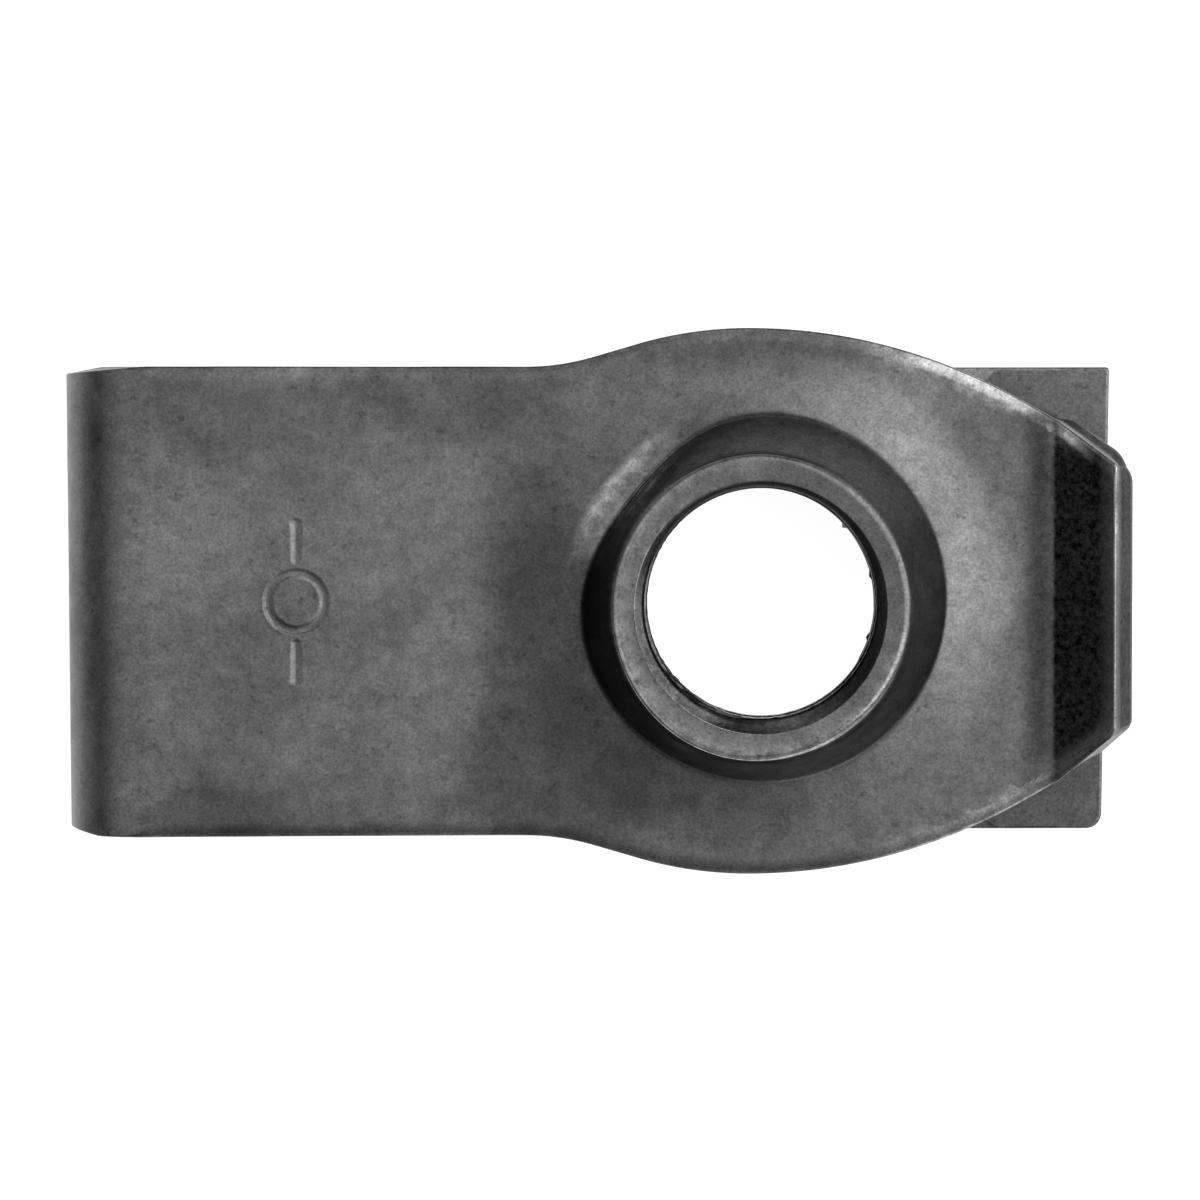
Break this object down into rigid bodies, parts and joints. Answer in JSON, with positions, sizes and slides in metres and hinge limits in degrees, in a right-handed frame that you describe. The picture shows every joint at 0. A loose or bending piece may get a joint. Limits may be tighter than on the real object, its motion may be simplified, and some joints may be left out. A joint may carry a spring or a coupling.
{
  "type": "extruded u nut",
  "caption": "Spring steel U-nut that clips over a panel's edge, with a drawn and tapped barrel on its upper leg, a clearance hole below and a turned-up lead-in lip.",
  "frame": {"origin": "on the thread's axis, in the plane of the lower leg's outer face, which the nut rests on", "axes": "+Z along the thread's axis, up through the lower leg and the barrel; +X from the fold towards the open mouth; +Y across the strip"},
  "size_m": [0.0319, 0.0164, 0.0065],
  "materials": {
    "black_phosphate_steel": "satin"
  },
  "bodies": {
    "root": {"u_nut": "black_phosphate_steel"}
  },
  "joints": []
}
